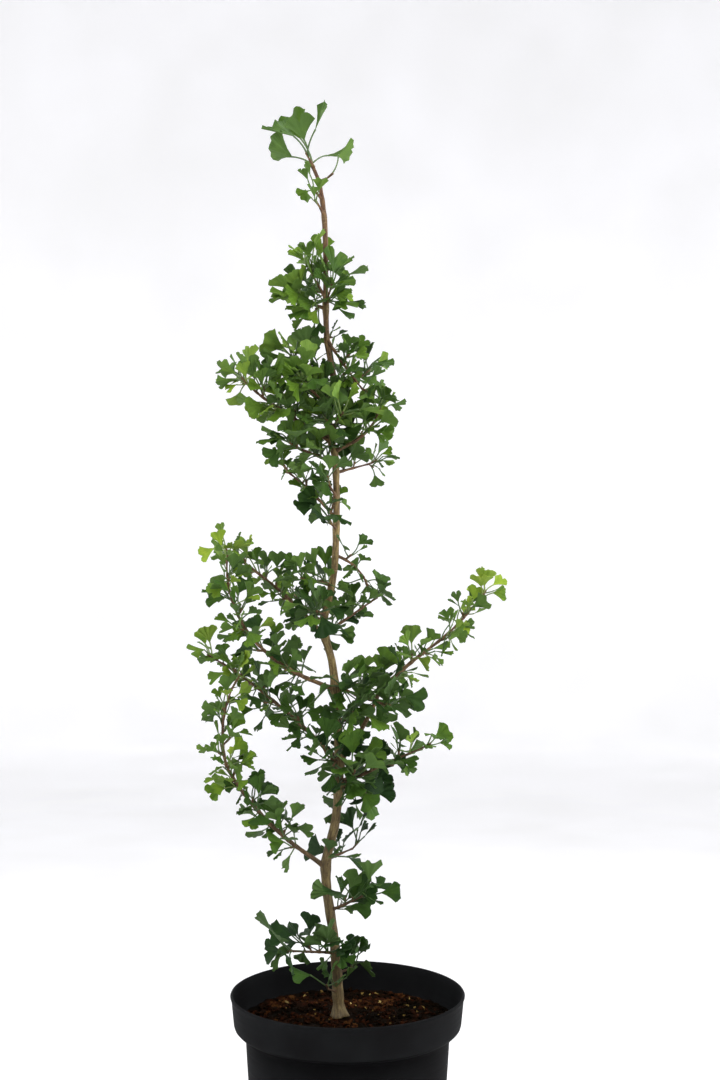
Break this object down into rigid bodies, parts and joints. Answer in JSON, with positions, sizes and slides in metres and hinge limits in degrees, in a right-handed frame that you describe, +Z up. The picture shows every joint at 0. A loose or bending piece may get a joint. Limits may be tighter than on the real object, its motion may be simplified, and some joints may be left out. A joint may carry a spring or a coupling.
{
  "type": "ginkgo tree in a nursery pot",
  "caption": "Young ginkgo in a round black nursery pot: a slender zigzag trunk with rising boughs and loose clusters of fan-shaped, notched leaves; stands as a potted plant.",
  "frame": {"origin": "centre of the pot's flat underside", "axes": "+Z up along the trunk, +X to the right of the tree's front, +Y to its back"},
  "size_m": [0.3758, 0.266, 1.235],
  "materials": {
    "moulded_plastic": "matt black injection-moulded plastic with a soft sheen",
    "growing_medium": "moist dark bark and peat with lighter chips",
    "bark": "grey-brown young bark, finely fissured lengthwise",
    "foliage": "soft leathery green leaves with fine fanned veins"
  },
  "bodies": {
    "root": {"pot": "moulded_plastic", "growing_medium": "growing_medium", "trunk": "bark", "bough_lower_left": "bark", "bough_middle_left": "bark", "bough_long_right": "bark", "bough_long_left": "bark", "bough_back_right": "bark", "bough_upper_left": "bark", "bough_back_left": "bark", "bough_top_right": "bark", "bough_top_left": "bark", "foliage_lower_left_inner": "foliage", "foliage_lower_left_outer": "foliage", "foliage_middle_left_inner": "foliage", "foliage_middle_left_outer": "foliage", "foliage_long_right_inner": "foliage", "foliage_long_right_outer": "foliage", "foliage_long_left_inner": "foliage", "foliage_long_left_outer": "foliage", "foliage_back_right": "foliage", "foliage_upper_left_inner": "foliage", "foliage_upper_left_outer": "foliage", "foliage_back_left": "foliage", "foliage_top_right": "foliage", "foliage_top_left_inner": "foliage", "foliage_top_left_outer": "foliage", "foliage_foot": "foliage", "foliage_foot_right": "foliage", "foliage_low_left": "foliage", "foliage_low_right": "foliage", "foliage_low_back": "foliage", "foliage_lower_front": "foliage", "foliage_lower_side": "foliage", "foliage_lower_back": "foliage", "foliage_lower_right": "foliage", "foliage_middle_front": "foliage", "foliage_middle_right": "foliage", "foliage_short_right": "foliage", "foliage_upper_front": "foliage", "foliage_upper_side": "foliage", "foliage_hanging_right": "foliage", "foliage_high_left": "foliage", "foliage_small_left": "foliage", "foliage_high_front": "foliage", "foliage_high_back": "foliage", "foliage_crown_low": "foliage", "foliage_crown_front": "foliage", "foliage_crown_back": "foliage", "foliage_crown_side": "foliage", "foliage_crown_right": "foliage", "foliage_crown_left": "foliage", "foliage_arching_right": "foliage", "foliage_neck_left": "foliage", "foliage_neck_right": "foliage", "foliage_neck_top": "foliage", "foliage_leader": "foliage", "foliage_leader_side": "foliage", "foliage_leader_right": "foliage", "foliage_tip": "foliage"}
  },
  "joints": []
}
